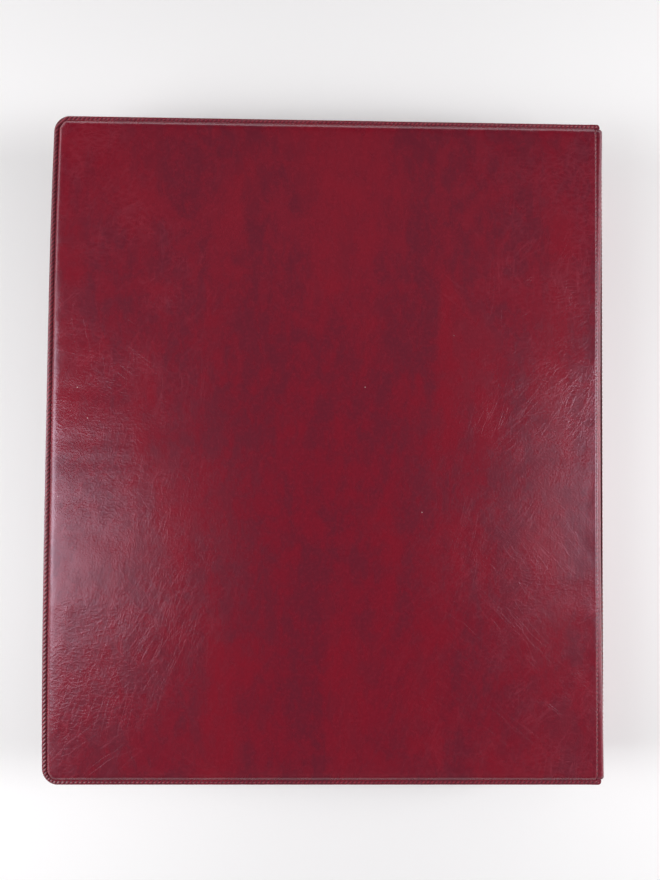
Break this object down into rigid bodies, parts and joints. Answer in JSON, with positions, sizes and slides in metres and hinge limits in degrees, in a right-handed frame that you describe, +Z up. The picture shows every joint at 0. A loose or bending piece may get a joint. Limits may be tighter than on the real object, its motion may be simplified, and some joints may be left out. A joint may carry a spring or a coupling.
{
  "type": "ring binder",
  "caption": "Padded leatherette ring binder, closed: welded rope-pattern edges, bending hinges, snap rings on hinged rails under a sprung steel housing, end levers.",
  "frame": {"origin": "centre of the bounding box, on the surface the closed binder lies on", "axes": "+X from the fore edge to the spine, +Y from tail to head, +Z up from the back cover to the front cover"},
  "size_m": [0.2682, 0.318, 0.046],
  "materials": {
    "leatherette": "satin",
    "lining": "satin",
    "foam": "matte",
    "greyboard": "matte",
    "nickel": "polished"
  },
  "bodies": {
    "back_cover": {"back_cover_skin": "leatherette", "back_cover_foam": "foam", "back_cover_board": "greyboard", "back_cover_lining": "lining", "back_hinge_strip": "leatherette"},
    "spine": {"spine_skin": "leatherette", "spine_foam": "foam", "spine_board": "greyboard", "spine_lining": "lining", "front_hinge_strip": "leatherette", "mechanism_housing": "nickel", "housing_sleeves": "nickel", "housing_rivets": "nickel", "head_lever_pin": "nickel", "tail_lever_pin": "nickel"},
    "front_cover": {"front_cover_skin": "leatherette", "front_cover_foam": "foam", "front_cover_board": "greyboard", "front_cover_lining": "lining"},
    "front_rail": {"front_rail": "nickel", "front_ring_half_1": "nickel", "front_ring_half_2": "nickel", "front_ring_half_3": "nickel", "front_ring_half_4": "nickel"},
    "back_rail": {"back_rail": "nickel", "back_ring_half_1": "nickel", "back_ring_half_2": "nickel", "back_ring_half_3": "nickel", "back_ring_half_4": "nickel"},
    "head_lever": {"head_lever": "nickel"},
    "tail_lever": {"tail_lever": "nickel"}
  },
  "joints": [
    {"name": "spine_hinge", "type": "hinge", "parent": "back_cover", "child": "spine", "pos_m": [0.13223, 0, 0.00469], "axis": [0, 1, 0], "range_deg": [0, 90], "deforming": ["back_hinge_strip"]},
    {"name": "front_cover_hinge", "type": "hinge", "parent": "spine", "child": "front_cover", "pos_m": [0.13223, 0, 0.04131], "axis": [0, 1, 0], "range_deg": [0, 90], "deforming": ["front_hinge_strip"]},
    {"name": "ring_opening", "type": "hinge", "parent": "spine", "child": "front_rail", "pos_m": [0.12662, 0, 0.0314], "axis": [0, 1, 0], "range_deg": [0, 18]},
    {"name": "back_rail_turn", "type": "hinge", "parent": "spine", "child": "back_rail", "pos_m": [0.12662, 0, 0.0146], "axis": [0, -1, 0], "range_deg": [0, 18]},
    {"name": "head_lever_turn", "type": "hinge", "parent": "spine", "child": "head_lever", "pos_m": [0.12582, 0.141, 0.023], "axis": [0, 0, -1], "range_deg": [0, 36]},
    {"name": "tail_lever_turn", "type": "hinge", "parent": "spine", "child": "tail_lever", "pos_m": [0.12582, -0.141, 0.023], "axis": [0, 0, 1], "range_deg": [0, 36]}
  ],
  "couplings": [
    {"joint": "back_rail_turn", "follows": "ring_opening", "ratio": 1},
    {"joint": "head_lever_turn", "follows": "ring_opening", "ratio": 2},
    {"joint": "tail_lever_turn", "follows": "ring_opening", "ratio": 2}
  ]
}
